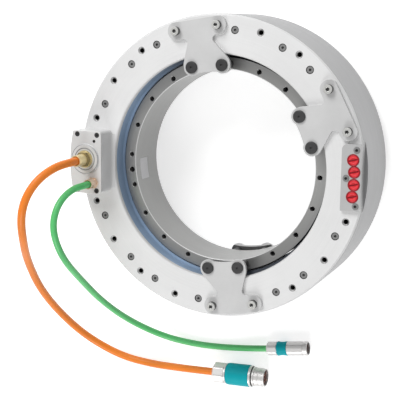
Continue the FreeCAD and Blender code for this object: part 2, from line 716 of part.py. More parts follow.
def main():
    os.makedirs("parts", exist_ok=True)
    pockets = coil_head_pockets()
    power_points = laid_route(POWER_ROUTE, GLAND_X, GLAND_Y, POWER_GLAND_TOP, POWER_CABLE_R)
    signal_points = laid_route(SIGNAL_ROUTE, SIGNAL_X, SIGNAL_Y, SIGNAL_GLAND_TOP,
                               SIGNAL_CABLE_R)
    nodes = {
        "front_flange": front_flange(),
        "rear_flange": rear_flange(),
        "stator_housing": stator_housing(),
        "cooling_jacket": cooling_jacket(),
        "stator_core": stator_core(),
        "coil_windings": coil_windings(),
        "potting_front": potting_front(pockets),
        "potting_rear": potting_rear(pockets),
        "rotor_ring": rotor_ring(),
        "rotor_magnets": rotor_magnets(),
        "rating_plate": rating_plate(),
        "bracket_screws_front": cap_screws(),
        "bracket_screws_rear": at_rear(cap_screws()),
        "lock_screws_front": lock_screws(ROTOR_SETBACK),
        "lock_screws_rear": at_rear(lock_screws(ROTOR_REAR)),
        "connection_box": connection_box(),
        "box_cover": box_cover(),
        "power_gland": power_gland(),
        "signal_gland": signal_gland(),
        "coolant_manifold": coolant_manifold(),
        "port_plugs": port_plugs(),
        "manifold_screws": manifold_screws(),
        "power_cable": cable("power_cable", power_points, POWER_CABLE_R),
        "signal_cable": cable("signal_cable", signal_points, SIGNAL_CABLE_R),
    }
    for i, angle in enumerate(BRACKET_ANGLES, 1):
        front = bracket(angle)
        nodes["bracket_front_%d" % i] = front
        nodes["bracket_rear_%d" % i] = at_rear(front)
    nodes.update(power_connector(power_points))
    nodes.update(signal_connector(signal_points))
    for name, shape in nodes.items():
        shape.exportStep("parts/" + name + ".step")


main()
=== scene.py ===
import math
import random

import bmesh
import bpy
from mathutils import Matrix, Vector


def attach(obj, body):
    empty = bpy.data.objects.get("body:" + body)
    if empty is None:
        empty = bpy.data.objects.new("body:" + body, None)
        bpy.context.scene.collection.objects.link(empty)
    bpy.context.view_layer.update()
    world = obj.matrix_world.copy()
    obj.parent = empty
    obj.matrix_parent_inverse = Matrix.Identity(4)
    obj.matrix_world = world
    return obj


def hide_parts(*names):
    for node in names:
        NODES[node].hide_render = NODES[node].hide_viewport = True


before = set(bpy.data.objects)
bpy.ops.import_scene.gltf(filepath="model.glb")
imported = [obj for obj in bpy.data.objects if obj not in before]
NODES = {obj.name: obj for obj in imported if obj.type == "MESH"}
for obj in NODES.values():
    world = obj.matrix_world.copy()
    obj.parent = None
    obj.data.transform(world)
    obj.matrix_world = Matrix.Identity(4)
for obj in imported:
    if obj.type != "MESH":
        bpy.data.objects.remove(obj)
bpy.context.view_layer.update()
MM = 0.001
random.seed(7)

# Places that the source gives, in millimetres and degrees
GROUND = -13.0
FACE_Z = 125.0
STATOR_R = 220.0
FLANGE_IN_R = 163.3
FLANGE_LOW_Z = 105.0
REAR_FLANGE_Z = 20.0
WALL_IN_R = 206.0
FLAT_X = 214.5
FLAT_LEDGE_Z = 113.0
STATOR_CIRCLE = 204.0
HOLE_COUNT = 20
HOLE_STEP = 360.0 / HOLE_COUNT
TAPPED_R = 3.4
TAPPED_DEPTH = 18.0
BRACKETS = (99.0, 27.0, 279.0)
BRACKET_T = 5.0
ROTOR_CIRCLE = 148.0
ROTOR_LEAD = -3.1
INDEX_ANGLE = 185.9
ROTOR_LOW_Z = 23.0
ROTOR_HIGH_Z = 99.0
BORE_R = 141.0
RUNNING_GAP = 0.3
RATING_ANGLE = 186.5
RATING_WIDTH = 32.0
RATING_HEIGHT = 26.0
RATING_Z = 70.0
COVER_Z = 160.0
COLLAR_Z = 163.0
GLAND_AT = (-194.0, 5.0)
MANIFOLD_SEAT_Z = 128.0
POWER_R = 6.0
SIGNAL_R = 5.0

# Details that only the scene shows, in millimetres and degrees
FLANGE_SCREW_CIRCLE = 198.5
FLANGE_SCREW_SIDE = 7.2
FLANGE_SCREW_DEPTH = 6.6
COVER_SCREW_DEPTH = 4.4
THREAD_PITCH = 1.25
THREAD_GROOVE = 0.45
SHADE_RING_DEPTH = 0.25
PLUG_SLOT_TURN = 14
GLAND_FLATS_Z = (165.3, 172.3)


# Meshes

def link(name, bm, look, body="stator", sharp=32.0, inner=None):
    mesh = bpy.data.meshes.new(name)
    bmesh.ops.scale(bm, vec=(MM, MM, MM), verts=bm.verts)
    bmesh.ops.recalc_face_normals(bm, faces=bm.faces)
    bm.to_mesh(mesh)
    bm.free()
    obj = bpy.data.objects.new(name, mesh)
    bpy.context.scene.collection.objects.link(obj)
    mesh.materials.append(look)
    if inner:
        mesh.materials.append(inner)
    finish_mesh(obj, sharp)
    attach(obj, body)
    return obj


def finish_mesh(obj, sharp=32.0):
    mesh = obj.data
    for polygon in mesh.polygons:
        polygon.use_smooth = True
    mesh.set_sharp_from_angle(angle=math.radians(sharp))
    even = obj.modifiers.new("even", "WEIGHTED_NORMAL")
    even.mode = "FACE_AREA"
    even.weight = 90
    even.keep_sharp = True
    apply_modifiers(obj)


def ring(bm, place, count, radius, height):
    """Ring of points; the radius may be a function of the angle."""
    points = []
    for i in range(count):
        angle = 2 * math.pi * i / count
        r = radius(angle) if callable(radius) else radius
        points.append(bm.verts.new(place @ Vector((r * math.cos(angle), r * math.sin(angle),
                                                   height))))
    return points


def join_rings(bm, low, high):
    count = len(low)
    return [bm.faces.new((low[i], low[(i + 1) % count], high[(i + 1) % count], high[i]))
            for i in range(count)]


def stack(bm, sections, count, place=None, caps=True, inside=None):
    """Skin over (height, radius) sections, each of the same number of points.

    Bands from number inside on take the second material."""
    place = place or Matrix.Identity(4)
    rings = [ring(bm, place, count, radius, height) for height, radius in sections]
    for band, (low, high) in enumerate(zip(rings, rings[1:])):
        for face in join_rings(bm, low, high):
            face.material_index = 1 if inside is not None and band >= inside else 0
    if caps:
        bm.faces.new(tuple(reversed(rings[0])))
        bm.faces.new(tuple(rings[-1])).material_index = 1 if inside is not None else 0
    return rings


def loop_lathe(bm, profile, count, place=None):
    """Ring-shaped solid from a closed (radius, height) profile."""
    place = place or Matrix.Identity(4)
    rings = [ring(bm, place, count, radius, height) for radius, height in profile]
    for low, high in zip(rings, rings[1:] + rings[:1]):
        join_rings(bm, low, high)


def hexagon(flats):
    return lambda a: flats / 2 / math.cos((a % (math.pi / 3)) - math.pi / 6)


def knurl(radius, depth, teeth):
    return lambda a: radius - depth * (0.5 + 0.5 * math.cos(teeth * a))


def flatted(radius, flats, half_width):
    """Round section with equally spaced flats that cut in to half_width."""
    step = 2 * math.pi / flats
    return lambda a: min(radius, half_width / max(0.2, math.cos((a % step) - step / 2)))


def at(x, y, z, turn=0.0, down=False):
    place = Matrix.Translation((x, y, z))
    if down:
        place = place @ Matrix.Rotation(math.pi, 4, "X")
    return place @ Matrix.Rotation(turn, 4, "Z")


def polar(radius, angle):
    a = math.radians(angle)
    return radius * math.cos(a), radius * math.sin(a)


def carve(obj, cutter, look=None, sink=None):
    """Cut a bmesh in millimetres out of obj.

    The cut's walls may have a look of their own, and its sloped faces another."""
    mesh = bpy.data.meshes.new("cutter")
    if look:
        for added in (look, sink):
            if added and added.name not in obj.data.materials:
                obj.data.materials.append(added)
        walls = obj.data.materials.find(look.name)
        slopes = obj.data.materials.find(sink.name) if sink else 0
        cutter.normal_update()
        for face in cutter.faces:
            sloped = 0.65 < abs(face.normal.z) < 0.95
            face.material_index = slopes if sloped else walls
    bmesh.ops.scale(cutter, vec=(MM, MM, MM), verts=cutter.verts)
    bmesh.ops.recalc_face_normals(cutter, faces=cutter.faces)
    cutter.to_mesh(mesh)
    cutter.free()
    tool = bpy.data.objects.new("cutter", mesh)
    bpy.context.scene.collection.objects.link(tool)
    change = obj.modifiers.new("cut", "BOOLEAN")
    change.operation = "DIFFERENCE"
    change.solver = "EXACT"
    change.object = tool
    apply_modifiers(obj)
    bpy.data.objects.remove(tool)
    bpy.data.meshes.remove(mesh)
    finish_mesh(obj)


def apply_modifiers(obj):
    depsgraph = bpy.context.evaluated_depsgraph_get()
    mesh = bpy.data.meshes.new_from_object(obj.evaluated_get(depsgraph))
    old = obj.data
    obj.modifiers.clear()
    obj.data = mesh
    bpy.data.meshes.remove(old)


def paint(obj, look, test):
    """Give a look to the faces whose middle (in millimetres) and normal pass a test."""
    obj.data.materials.append(look)
    index = len(obj.data.materials) - 1
    for polygon in obj.data.polygons:
        if test(polygon.center / MM, polygon.normal):
            polygon.material_index = index


def dressed(node, look, bevel, body="stator", segments=2):
    """Copy of a CAD node with merged faces and rounded edges, in place of the node."""
    source = NODES[node].data
    bm = bmesh.new()
    bm.from_mesh(source)
    bmesh.ops.remove_doubles(bm, verts=bm.verts, dist=1e-6)
    bmesh.ops.dissolve_limit(bm, angle_limit=math.radians(1.0), verts=bm.verts, edges=bm.edges,
                             use_dissolve_boundaries=False)
    mesh = bpy.data.meshes.new(node + "_fine")
    bm.to_mesh(mesh)
    bm.free()
    obj = bpy.data.objects.new(node + "_fine", mesh)
    bpy.context.scene.collection.objects.link(obj)
    mesh.materials.clear()
    mesh.materials.append(look)
    if bevel:
        edge = obj.modifiers.new("edges", "BEVEL")
        edge.width = bevel * MM
        edge.segments = segments
        edge.limit_method = "ANGLE"
        edge.angle_limit = math.radians(38)
        edge.use_clamp_overlap = True
        apply_modifiers(obj)
    finish_mesh(obj, 40.0)
    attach(obj, body)
    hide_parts(node)
    return obj


# Materials

# Depths of the bumps, in metres
TOOL_MARKS = 0.00002
SKIN_MARKS = 0.00001
SHEET_MARKS = 0.00005
NICKEL_MARKS = 0.000003


def graph(name):
    look = bpy.data.materials.new(name)
    look.use_nodes = True
    nodes, links = look.node_tree.nodes, look.node_tree.links
    return look, nodes, links, nodes["Principled BSDF"]


def calculation(nodes, links, kind, operation, *sources):
    """Math node; each source is another node's output or a plain number."""
    node = nodes.new(kind)
    node.operation = operation
    for socket, source in zip(node.inputs, sources):
        if isinstance(source, float):
            socket.default_value = source
        else:
            links.new(source, socket)
    return node


def number(nodes, links, operation, *sources):
    return calculation(nodes, links, "ShaderNodeMath", operation, *sources).outputs[0]


def vector(nodes, links, operation, *sources):
    return calculation(nodes, links, "ShaderNodeVectorMath", operation, *sources)


def round_coords(nodes, links, along_radius, around, along_height):
    """Coordinates that follow a turned surface: radius, direction and height."""
    place = nodes.new("ShaderNodeTexCoord")
    split = nodes.new("ShaderNodeSeparateXYZ")
    links.new(place.outputs["Object"], split.inputs[0])
    flat = nodes.new("ShaderNodeCombineXYZ")
    links.new(split.outputs["X"], flat.inputs["X"])
    links.new(split.outputs["Y"], flat.inputs["Y"])
    length = vector(nodes, links, "LENGTH", flat.outputs[0]).outputs["Value"]
    direction = vector(nodes, links, "NORMALIZE", flat.outputs[0]).outputs[0]
    wide = vector(nodes, links, "SCALE", direction)
    wide.inputs["Scale"].default_value = around
    radial = number(nodes, links, "MULTIPLY", length, along_radius)
    high = number(nodes, links, "MULTIPLY_ADD", split.outputs["Z"], along_height, radial)
    up = nodes.new("ShaderNodeCombineXYZ")
    links.new(high, up.inputs["Z"])
    return vector(nodes, links, "ADD", wide.outputs[0], up.outputs[0]).outputs[0]


def plain_coords(nodes, links, stretch=(1, 1, 1), turn=0.0):
    place = nodes.new("ShaderNodeTexCoord")
    mapping = nodes.new("ShaderNodeMapping")
    mapping.inputs["Scale"].default_value = stretch
    mapping.inputs["Rotation"].default_value = (0.0, 0.0, math.radians(turn))
    links.new(place.outputs["Object"], mapping.inputs["Vector"])
    return mapping.outputs[0]


def noise(nodes, links, coords, scale, detail=3.0):
    tex = nodes.new("ShaderNodeTexNoise")
    tex.inputs["Scale"].default_value = scale
    tex.inputs["Detail"].default_value = detail
    tex.inputs["Roughness"].default_value = 0.55
    links.new(coords, tex.inputs["Vector"])
    return tex.outputs["Fac"]


def spread(nodes, links, source, low, high, start=0.3, end=0.7):
    remap = nodes.new("ShaderNodeMapRange")
    remap.inputs["From Min"].default_value = start
    remap.inputs["From Max"].default_value = end
    remap.inputs["To Min"].default_value = low
    remap.inputs["To Max"].default_value = high
    links.new(source, remap.inputs["Value"])
    return remap.outputs["Result"]


def tint(nodes, links, source, dark, light, start=0.3, end=0.7):
    ramp = nodes.new("ShaderNodeValToRGB")
    ramp.color_ramp.elements[0].position = start
    ramp.color_ramp.elements[0].color = (*dark, 1)
    ramp.color_ramp.elements[1].position = end
    ramp.color_ramp.elements[1].color = (*light, 1)
    links.new(source, ramp.inputs["Fac"])
    return ramp.outputs["Color"]


def bump(nodes, links, shader, source, distance):
    node = nodes.new("ShaderNodeBump")
    node.inputs["Strength"].default_value = 1.0
    node.inputs["Distance"].default_value = distance
    links.new(source, node.inputs["Height"])
    links.new(node.outputs["Normal"], shader.inputs["Normal"])


def shade(color, factor):
    return tuple(min(1.0, c * factor) for c in color)


def varied(nodes, links, source, color, vary):
    """Colour that strays by the share vary to either side."""
    return tint(nodes, links, source, shade(color, 1 - vary), shade(color, 1 + vary))


def turned_metal(name, color, metallic, rough, streak=0.0):
    """Metal with the fine rings of a lathe tool and cloudy variation."""
    look, nodes, links, shader = graph(name)
    if streak:
        tangent = nodes.new("ShaderNodeTangent")
        tangent.direction_type = "RADIAL"
        tangent.axis = "Z"
        links.new(tangent.outputs[0], shader.inputs["Tangent"])
        shader.inputs["Anisotropic"].default_value = streak
    rings = noise(nodes, links, round_coords(nodes, links, 900.0, 1.2, 900.0), 1.0, 2.0)
    cloud = noise(nodes, links, plain_coords(nodes, links), 14.0, 4.0)
    cloud_share = number(nodes, links, "MULTIPLY", cloud, 0.65)
    mixed = number(nodes, links, "MULTIPLY_ADD", rings, 0.35, cloud_share)
    links.new(varied(nodes, links, mixed, color, 0.05), shader.inputs["Base Color"])
    links.new(spread(nodes, links, rings, rough - 0.06, rough + 0.08), shader.inputs["Roughness"])
    shader.inputs["Metallic"].default_value = metallic
    bump(nodes, links, shader, rings, TOOL_MARKS)
    return look


def milled_metal(name, color, metallic, rough, stretch=(1, 12, 1), scale=60.0, vary=0.05,
                 marks=TOOL_MARKS):
    """Metal with directional brushing."""
    look, nodes, links, shader = graph(name)
    grain = noise(nodes, links, plain_coords(nodes, links, stretch), scale)
    cloud = noise(nodes, links, plain_coords(nodes, links), 25.0)
    links.new(varied(nodes, links, cloud, color, vary), shader.inputs["Base Color"])
    links.new(spread(nodes, links, grain, rough - 0.06, rough + 0.1), shader.inputs["Roughness"])
    shader.inputs["Metallic"].default_value = metallic
    bump(nodes, links, shader, grain, marks)
    return look


def skin_texture(nodes, links, shader, scale, rough):
    skin = noise(nodes, links, plain_coords(nodes, links), scale)
    links.new(spread(nodes, links, skin, rough - 0.05, rough + 0.07), shader.inputs["Roughness"])
    bump(nodes, links, shader, skin, SKIN_MARKS)


def moulded(name, color, rough, scale=400.0, vary=0.06, coat=0.0, gloss=0.5):
    """Plastic or rubber with a slight skin texture."""
    look, nodes, links, shader = graph(name)
    cloud = noise(nodes, links, plain_coords(nodes, links), 18.0)
    links.new(varied(nodes, links, cloud, color, vary), shader.inputs["Base Color"])
    shader.inputs["Coat Weight"].default_value = coat
    shader.inputs["Coat Roughness"].default_value = 0.15
    shader.inputs["Specular IOR Level"].default_value = gloss
    skin_texture(nodes, links, shader, scale, rough)
    return look


def resin_with_painted_shade(name, color, rough, shaded, start, end):
    """Cast resin with painted shade, darker from one side of the ring to the other."""
    look, nodes, links, shader = graph(name)
    cloud = noise(nodes, links, plain_coords(nodes, links), 18.0)
    resin_colour = varied(nodes, links, cloud, color, 0.08)
    painted_shade = varied(nodes, links, cloud, shaded, 0.1)
    across = nodes.new("ShaderNodeSeparateXYZ")
    links.new(plain_coords(nodes, links, turn=-19.3), across.inputs[0])
    fade = spread(nodes, links, across.outputs["X"], 0.0, 1.0, start, end)
    mixed = nodes.new("ShaderNodeMix")
    mixed.data_type = "RGBA"
    links.new(fade, mixed.inputs[0])
    links.new(resin_colour, mixed.inputs[6])
    links.new(painted_shade, mixed.inputs[7])
    links.new(mixed.outputs[2], shader.inputs["Base Color"])
    skin_texture(nodes, links, shader, 250.0, rough)
    return look


def sheeted(name, color, metallic, rough, pitch):
    """Stack of thin sheets along the axis."""
    look, nodes, links, shader = graph(name)
    place = nodes.new("ShaderNodeTexCoord")
    wave = nodes.new("ShaderNodeTexWave")
    wave.bands_direction = "Z"
    wave.inputs["Scale"].default_value = 1.0 / pitch / MM / 20.0
    wave.inputs["Distortion"].default_value = 0.3
    wave.inputs["Detail"].default_value = 1.0
    links.new(place.outputs["Object"], wave.inputs["Vector"])
    stripes = wave.outputs["Fac"]
    links.new(tint(nodes, links, stripes, shade(color, 0.75), shade(color, 1.1), 0.1, 0.9),
              shader.inputs["Base Color"])
    shader.inputs["Metallic"].default_value = metallic
    shader.inputs["Roughness"].default_value = rough
    bump(nodes, links, shader, stripes, SHEET_MARKS)
    return look


FACE = turned_metal("aluminium_face", (0.79, 0.79, 0.79), 0.12, 0.55)
# The outer wall: a darker copy of the face's aluminium, painted shade.
WALL_SHADED = turned_metal("aluminium_wall_painted_shade", (0.31, 0.31, 0.315), 0.5, 0.38, streak=0.4)
PLATE = milled_metal("bracket_plate", (0.62, 0.62, 0.62), 0.2, 0.5)
# The rear brackets take a lighter copy of the bracket steel: painted light.
PLATE_REAR_LIT = milled_metal("rear_bracket_plate_painted_light", (0.86, 0.86, 0.86), 0.15, 0.5)
BOX = milled_metal("box_metal", (0.70, 0.70, 0.70), 0.25, 0.45, (8, 1, 1))
MANIFOLD = milled_metal("manifold_metal", (0.50, 0.50, 0.50), 0.3, 0.45)
ZINC = milled_metal("bright_screw", (0.66, 0.66, 0.64), 0.85, 0.28, (1, 1, 1), 300.0)
DULL = milled_metal("flange_screw", (0.24, 0.24, 0.24), 0.4, 0.5, (1, 1, 1), 300.0)
BLACK = milled_metal("black_oxide", (0.044, 0.044, 0.045), 0.3, 0.42, (1, 1, 1), 300.0, 0.15)
CORE = sheeted("core_sheets", (0.30, 0.31, 0.33), 0.8, 0.45, 0.5)
COPPER = milled_metal("enamelled_copper", (0.50, 0.20, 0.09), 0.8, 0.35, (1, 1, 20), 120.0, 0.15)
# The blue resin carries painted shade that darkens one side of the ring.
RESIN = resin_with_painted_shade("blue_resin", (0.32, 0.45, 0.64), 0.45, (0.07, 0.08, 0.10), -0.105, -0.005)
ROTOR = turned_metal("rotor_steel", (0.34, 0.34, 0.335), 0.75, 0.36, streak=0.6)
MAGNET = milled_metal("magnet_nickel", (0.42, 0.42, 0.43), 0.9, 0.3, (1, 1, 1), 200.0)
FOIL = milled_metal("bare_foil", (0.55, 0.55, 0.56), 0.5, 0.35, (1, 1, 14), 80.0)
BRASS = milled_metal("turned_brass", (0.86, 0.72, 0.40), 0.7, 0.32, (1, 1, 1), 300.0, 0.10)
BRASS_SHADE = milled_metal("brass_flats_painted_shade", (0.30, 0.24, 0.12), 0.6, 0.4, (1, 1, 1), 300.0, 0.12)
COPPERY = milled_metal("plated_gland", (0.74, 0.56, 0.42), 0.6, 0.32, (1, 1, 1), 300.0, 0.12)
RED = moulded("red_plug", (0.80, 0.028, 0.041), 0.4, 500.0, 0.1, 0.05, gloss=0.25)
RED_RIM_SHADE = moulded("red_plug_rim_painted_shade", (0.34, 0.014, 0.022), 0.4, 500.0, 0.1, gloss=0.25)
ORANGE = moulded("orange_sheath", (0.94, 0.25, 0.026), 0.42, 700.0, 0.06, 0.05, gloss=0.35)
GREEN = moulded("green_sheath", (0.105, 0.59, 0.18), 0.40, 700.0, 0.06, 0.1)
TEAL = moulded("teal_grip", (0.005, 0.42, 0.48), 0.5, 500.0, 0.06, gloss=0.15)
NICKEL = milled_metal("connector_nickel", (0.67, 0.66, 0.65), 0.75, 0.42, (1, 1, 1), 250.0, 0.03,
                      NICKEL_MARKS)
# Painted shade for the connector ring's groove and the rear brackets' ring.
GROOVE_SHADE = milled_metal("connector_groove_painted_shade", (0.16, 0.16, 0.16), 0.6, 0.4, (1, 1, 1), 250.0, 0.1)
INSERT = moulded("dark_insert", (0.085, 0.010, 0.010), 0.45, 400.0, 0.1, gloss=0.3)
DARK = moulded("dark_rubber", (0.02, 0.02, 0.022), 0.5, 400.0, 0.1)
# Painted shade inside holes and screw sockets.
HOLE_SHADE = milled_metal("hole_painted_shade", (0.055, 0.055, 0.054), 0.4, 0.5, (1, 1, 1), 300.0, 0.15)
# Painted shade: a darker copy of the face's aluminium for countersinks, grooves and the flat's
# side.
SINK_SHADE = turned_metal("countersink", (0.36, 0.36, 0.36), 0.5, 0.45)
EDGE_HIGHLIGHT = turned_metal("edge_painted_highlight", (0.72, 0.72, 0.72), 0.4, 0.4)
# Painted shade inside hexagon sockets and on the shaded side of the bracket screws' heads.
SOCKET_SHADE = milled_metal("socket_painted_shade", (0.10, 0.10, 0.10), 0.4, 0.45, (1, 1, 1), 300.0, 0.15)
PIN = milled_metal("contact_metal", (0.30, 0.17, 0.13), 0.8, 0.35, (1, 1, 1), 300.0)


# Camera at the photograph's angle

camera_data = bpy.data.cameras.new("camera")
camera_data.sensor_width = 36.0
camera_data.lens = 95.31
camera_data.clip_start = 0.01
camera_data.clip_end = 50.0
camera = bpy.data.objects.new("camera", camera_data)
bpy.context.scene.collection.objects.link(camera)
camera.matrix_world = Matrix((
    (0.92491, -0.07679, 0.37235, 0.551275),
    (0.01434, 0.98574, 0.16767, 0.210241),
    (-0.37992, -0.14974, 0.91282, 1.536108),
    (0, 0, 0, 1)))
bpy.context.scene.camera = camera


# Cables

POWER_POINTS = (
    (-194.0, 5.0, 182.0), (-194.0, 5.0, 204.3), (-203.7, 0.9, 233.7),
    (-218.8, -15.0, 256.0), (-232.7, -40.8, 267.2), (-242.1, -71.8, 264.8),
    (-254.7, -111.3, 238.3), (-282.7, -153.7, 182.1), (-296.0, -213.9, 122.4),
    (-291.4, -272.4, 60.3), (-268.5, -320.7, 12.5), (-215.6, -350.9, -6.3),
    (-160.0, -357.0, -7.0), (-112.0, -355.0, -2.0), (-74.0, -351.8, 4.5),
    (-48.0, -351.0, 4.5))
SIGNAL_POINTS = (
    (-181.0, -30.0, 167.0), (-181.0, -30.0, 185.5), (-189.6, -33.4, 211.3),
    (-198.4, -49.5, 231.6), (-202.6, -74.4, 242.2), (-201.3, -101.8, 240.3),
    (-198.4, -136.7, 219.1), (-200.8, -177.4, 165.3), (-195.1, -228.3, 102.2),
    (-177.1, -273.3, 40.1), (-136.1, -305.2, -1.9), (-84.0, -312.7, -8.0),
    (-38.0, -312.0, -8.0), (-2.0, -308.0, -5.0), (22.0, -304.5, -1.5),
    (40.5, -302.0, -1.5))


def cable(name, points, radius, look, node):
    data = bpy.data.curves.new(name, "CURVE")
    data.dimensions = "3D"
    spline = data.splines.new("NURBS")
    spline.points.add(len(points) - 1)
    for target, point in zip(spline.points, points):
        target.co = (*(Vector(point) * MM), 1.0)
    spline.order_u = 3
    spline.use_endpoint_u = True
    spline.resolution_u = 16
    data.bevel_depth = radius * MM
    data.bevel_resolution = 6
    data.use_fill_caps = True
    data.materials.append(look)
    obj = bpy.data.objects.new(name, data)
    bpy.context.scene.collection.objects.link(obj)
    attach(obj, "stator")
    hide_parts(node)
    return obj


power_cable = cable("power_cable_sheath", POWER_POINTS, POWER_R, ORANGE, "power_cable")
signal_cable = cable("signal_cable_sheath", SIGNAL_POINTS, SIGNAL_R, GREEN, "signal_cable")


def axis_frame(points):
    """Placement whose Z runs along a cable's last run, from its end."""
    tip = Vector(points[-1])
    along = (tip - Vector(points[-2])).normalized()
    side = along.cross(Vector((0, 0, 1))).normalized()
    up = side.cross(along)
    place = Matrix.Identity(4)
    for row in range(3):
        place[row][0], place[row][1], place[row][2] = side[row], up[row], along[row]
        place[row][3] = tip[row]
    return place


def connector_part(parts, name, node, look, bm, inner=None):
    obj = link(name, bm, look, inner=inner)
    if node:
        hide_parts(node)
    parts.append(obj)


def turned(place, sections, count=96, band=None):
    """Turned solid along a connector's axis; the heights in band take the second material."""
    bm = bmesh.new()
    stack(bm, sections, count, place)
    if band:
        for face in bm.faces:
            middle = place.inverted() @ face.calc_center_median()
            face.material_index = 1 if band[0] < middle.z < band[1] else 0
    return bm


def contacts(place, groups):
    """Groups of (pins, circle, first angle, sections, points round)."""
    bm = bmesh.new()
    for pins, circle, first, sections, count in groups:
        for k in range(pins):
            stack(bm, sections, count, place @ at(*polar(circle, first + 360 / pins * k), 0))
    return bm


# Power connector, with heights along its axis from the cable's end
frame_p = axis_frame(POWER_POINTS)
power_parts = []
clamp_flats = flatted(16.8, 8, 15.9)
connector_part(
    power_parts, "power_clamp_fine", "power_connector_clamp", NICKEL,
    turned(frame_p, [
        (0.0, 5.8), (0.0, POWER_R), (3.2, POWER_R), (3.2, 10.2), (3.8, 11.8), (6.2, 15.4),
        (6.9, clamp_flats), (23.6, clamp_flats), (24.0, 15.6), (25.2, 15.6), (25.6, 16.7),
        (27.3, 16.7), (27.5, 16.4)], band=(-0.1, 3.1)),
    ORANGE)
connector_part(
    power_parts, "power_grip_fine", "power_connector_grip", TEAL,
    turned(frame_p, [
        (27.5, 14.0), (27.55, 15.6), (28.0, 16.6), (28.9, 17.15), (30.2, 17.4), (32.0, 17.5),
        (64.2, 17.5), (65.4, 17.4), (66.0, 17.0), (66.2, 16.4), (66.2, 14.0)]))
# The ring's groove takes painted shade.
connector_part(
    power_parts, "power_ring_fine", "power_connector_ring", NICKEL,
    turned(frame_p, [
        (66.2, 14.0), (66.2, 16.6), (66.6, 16.9), (69.6, 16.9), (70.2, 16.3), (70.2, 14.2),
        (72.0, 14.2), (72.0, 15.2), (72.4, 15.6), (74.6, 15.6), (75.0, 15.2), (75.0, 13.6)],
        128, band=(70.1, 72.1)),
    GROOVE_SHADE)
bm = bmesh.new()
loop_lathe(bm, [
    (12.5, 75.0), (14.4, 75.0), (14.8, 75.4), (14.8, 81.4), (14.4, 81.8), (14.4, 82.6),
    (14.8, 83.0), (14.8, 87.8), (14.5, 88.3), (14.1, 88.7), (14.1, 91.4), (13.7, 91.9),
    (13.2, 92.0), (12.5, 91.4)], 96, frame_p)
connector_part(power_parts, "power_nose_fine", "power_connector_nose", NICKEL, bm)
connector_part(power_parts, "power_insert_fine", "power_connector_insert", INSERT,
               turned(frame_p, [(75.0, 12.4), (87.4, 12.4), (88.0, 11.9)], 64))
connector_part(power_parts, "power_contacts", None, PIN, contacts(frame_p, (
    (4, 7.6, 45, [(87.0, 1.7), (90.4, 1.7), (91.0, 1.1)], 16),
    (4, 3.6, 0, [(87.0, 0.9), (90.2, 0.9), (90.6, 0.5)], 12))))

# Signal connector
frame_s = axis_frame(SIGNAL_POINTS)
signal_parts = []
clamp_flats = flatted(11.1, 6, 10.4)
nose_flats = flatted(11.2, 6, 10.8)
connector_part(
    signal_parts, "signal_clamp_fine", "signal_connector_clamp", NICKEL,
    turned(frame_s, [
        (0.0, 4.8), (0.0, SIGNAL_R), (3.0, SIGNAL_R), (3.0, 8.2), (3.6, 9.4), (4.6, 10.2),
        (5.2, clamp_flats), (19.6, clamp_flats), (20.0, 10.2), (20.5, 10.2)], band=(-0.1, 2.9)),
    GREEN)
connector_part(
    signal_parts, "signal_grip_fine", "signal_connector_grip", TEAL,
    turned(frame_s, [
        (20.5, 8.4), (20.5, 10.8), (20.9, 11.2), (21.6, 11.4), (24.4, 10.9), (27.6, 10.5),
        (31.0, 10.6), (34.4, 11.1), (35.8, 11.4), (36.4, 11.2), (36.7, 10.4), (36.7, 8.4)]))
bm = bmesh.new()
rings = stack(bm, [
    (36.7, 9.25), (36.7, 10.6), (37.2, nose_flats), (62.0, nose_flats), (62.4, 10.4),
    (64.2, 10.4), (64.6, 11.1), (69.4, 11.1), (70.1, 10.7), (70.5, 10.2), (70.5, 9.6),
    (70.1, 9.25)], 96, frame_s, caps=False)
join_rings(bm, rings[-1], rings[0])
connector_part(signal_parts, "signal_nose_fine", "signal_connector_nose", NICKEL, bm)
connector_part(signal_parts, "signal_insert_fine", "signal_connector_insert", DARK,
               turned(frame_s, [(36.5, 9.1), (66.9, 9.1), (67.5, 8.6)], 64))
signal_pin = [(67.0, 0.5), (69.0, 0.5), (69.3, 0.3)]
connector_part(signal_parts, "signal_contacts", None, PIN, contacts(frame_s, (
    (9, 5.6, 0, signal_pin, 10), (3, 2.4, 0, signal_pin, 10))))

Vector(POWER_POINTS[0]) * MM
Vector(SIGNAL_POINTS[0]) * MM


# Front flange

def threaded_hole(bm, angle, top, chamfer, down=False):
    """Cutter for a tapped hole, with ring-shaped thread grooves and a countersink."""
    sections = [(-TAPPED_DEPTH, TAPPED_R)]
    z = -TAPPED_DEPTH + 3.0
    while z < -chamfer - 1.1:
        sections += [(z, TAPPED_R), (z + THREAD_PITCH / 2, TAPPED_R + THREAD_GROOVE)]
        z += THREAD_PITCH
    mouth = TAPPED_R + chamfer
    sections += [(-chamfer, TAPPED_R), (0.0, mouth), (0.5, mouth)]
    stack(bm, sections, 24, at(*polar(STATOR_CIRCLE, angle), top, 0.0, down))


